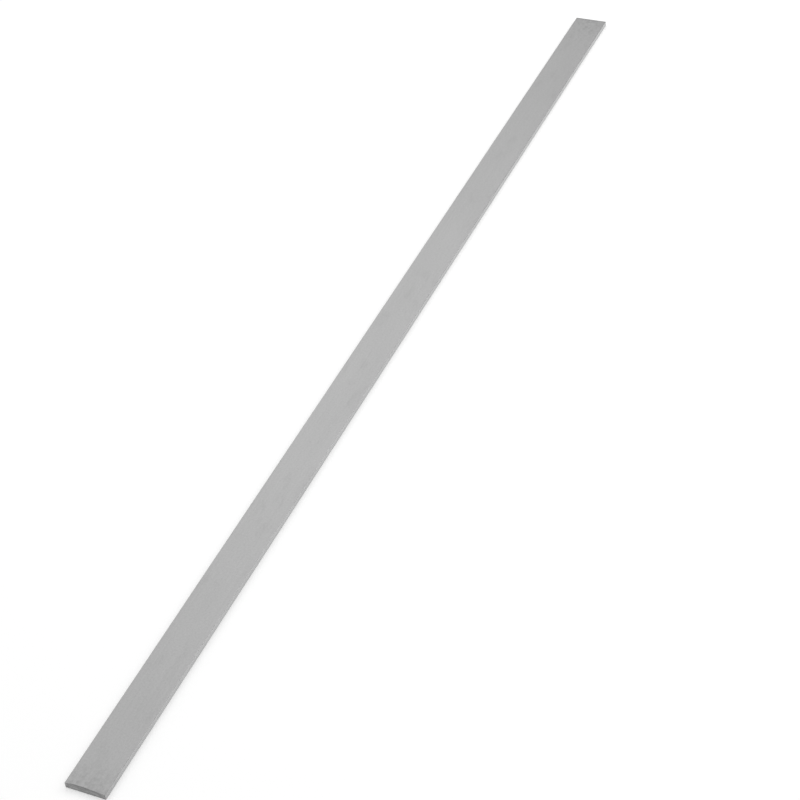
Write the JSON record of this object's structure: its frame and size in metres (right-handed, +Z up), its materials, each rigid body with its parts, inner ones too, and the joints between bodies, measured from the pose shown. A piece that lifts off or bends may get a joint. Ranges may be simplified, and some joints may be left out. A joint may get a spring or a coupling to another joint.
{
  "type": "carbide strip",
  "caption": "Long flat strip of cemented carbide with a plain rectangular section and lightly broken edges, stock for wear strips, blades and tool tips.",
  "frame": {"origin": "under the middle of the strip, on the broad face that it lies on", "axes": "+X along the length, +Y across the width, +Z up through the thickness"},
  "size_m": [0.33, 0.01, 0.0015],
  "materials": {
    "carbide": "bare sintered carbide, finely ground, matte grey"
  },
  "bodies": {
    "root": {"carbide_strip": "carbide"}
  },
  "joints": []
}
